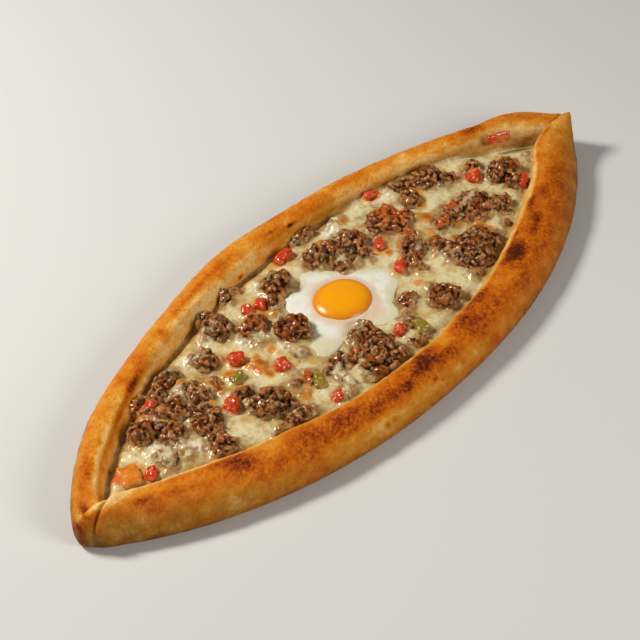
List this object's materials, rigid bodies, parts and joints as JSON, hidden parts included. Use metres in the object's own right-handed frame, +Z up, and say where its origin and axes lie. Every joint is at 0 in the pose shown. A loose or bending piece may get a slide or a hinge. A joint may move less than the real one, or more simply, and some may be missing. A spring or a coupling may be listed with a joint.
{
  "type": "turkish pide",
  "caption": "Boat-shaped Turkish flatbread with a rolled golden rim, melted cheese, ground-meat clumps, diced peppers and a baked egg.",
  "frame": {"origin": "middle of the outline, on the flat underside", "axes": "+X along the boat towards its raised tip, +Y across it, +Z up"},
  "size_m": [0.4591, 0.1831, 0.0307],
  "materials": {
    "baked_dough": "baked bread crust, golden to orange-brown, satin with browned spots",
    "melted_cheese": "melted pale cheese, oily satin, browned in spots",
    "egg_white": "cooked egg white, smooth and slightly glossy",
    "egg_yolk": "soft cooked yolk, glossy",
    "fried_meat": "fried ground meat, grainy, dark brown with an oily sparkle",
    "red_pepper": "baked red pepper, wet satin",
    "green_pepper": "baked green pepper, wet satin",
    "roast_pepper": "roasted orange pepper, browned, wet satin"
  },
  "bodies": {
    "root": {"cheese": "melted_cheese", "crust": "baked_dough", "egg_white": "egg_white", "egg_yolk": "egg_yolk", "green_pepper_01": "green_pepper", "green_pepper_02": "green_pepper", "green_pepper_03": "green_pepper", "meat_clump_01": "fried_meat", "meat_clump_02": "fried_meat", "meat_clump_03": "fried_meat", "meat_clump_04": "fried_meat", "meat_clump_05": "fried_meat", "meat_clump_06": "fried_meat", "meat_clump_07": "fried_meat", "meat_clump_08": "fried_meat", "meat_clump_09": "fried_meat", "meat_clump_10": "fried_meat", "meat_clump_11": "fried_meat", "meat_clump_12": "fried_meat", "meat_clump_13": "fried_meat", "meat_clump_14": "fried_meat", "meat_clump_15": "fried_meat", "meat_clump_16": "fried_meat", "meat_clump_17": "fried_meat", "meat_clump_18": "fried_meat", "meat_clump_19": "fried_meat", "meat_clump_20": "fried_meat", "meat_clump_21": "fried_meat", "meat_clump_22": "fried_meat", "meat_clump_23": "fried_meat", "meat_clump_24": "fried_meat", "meat_clump_25": "fried_meat", "meat_clump_26": "fried_meat", "meat_clump_27": "fried_meat", "meat_clump_28": "fried_meat", "meat_clump_29": "fried_meat", "meat_clump_30": "fried_meat", "meat_clump_31": "fried_meat", "meat_clump_32": "fried_meat", "meat_clump_33": "fried_meat", "red_pepper_01": "red_pepper", "red_pepper_02": "red_pepper", "red_pepper_03": "red_pepper", "red_pepper_04": "red_pepper", "red_pepper_05": "red_pepper", "red_pepper_06": "red_pepper", "red_pepper_07": "red_pepper", "red_pepper_08": "red_pepper", "red_pepper_09": "red_pepper", "red_pepper_10": "red_pepper", "red_pepper_11": "red_pepper", "red_pepper_12": "red_pepper", "red_pepper_13": "red_pepper", "red_pepper_14": "red_pepper", "red_pepper_15": "red_pepper", "red_pepper_16": "red_pepper", "roast_pepper_01": "roast_pepper", "roast_pepper_02": "roast_pepper"}
  },
  "joints": []
}
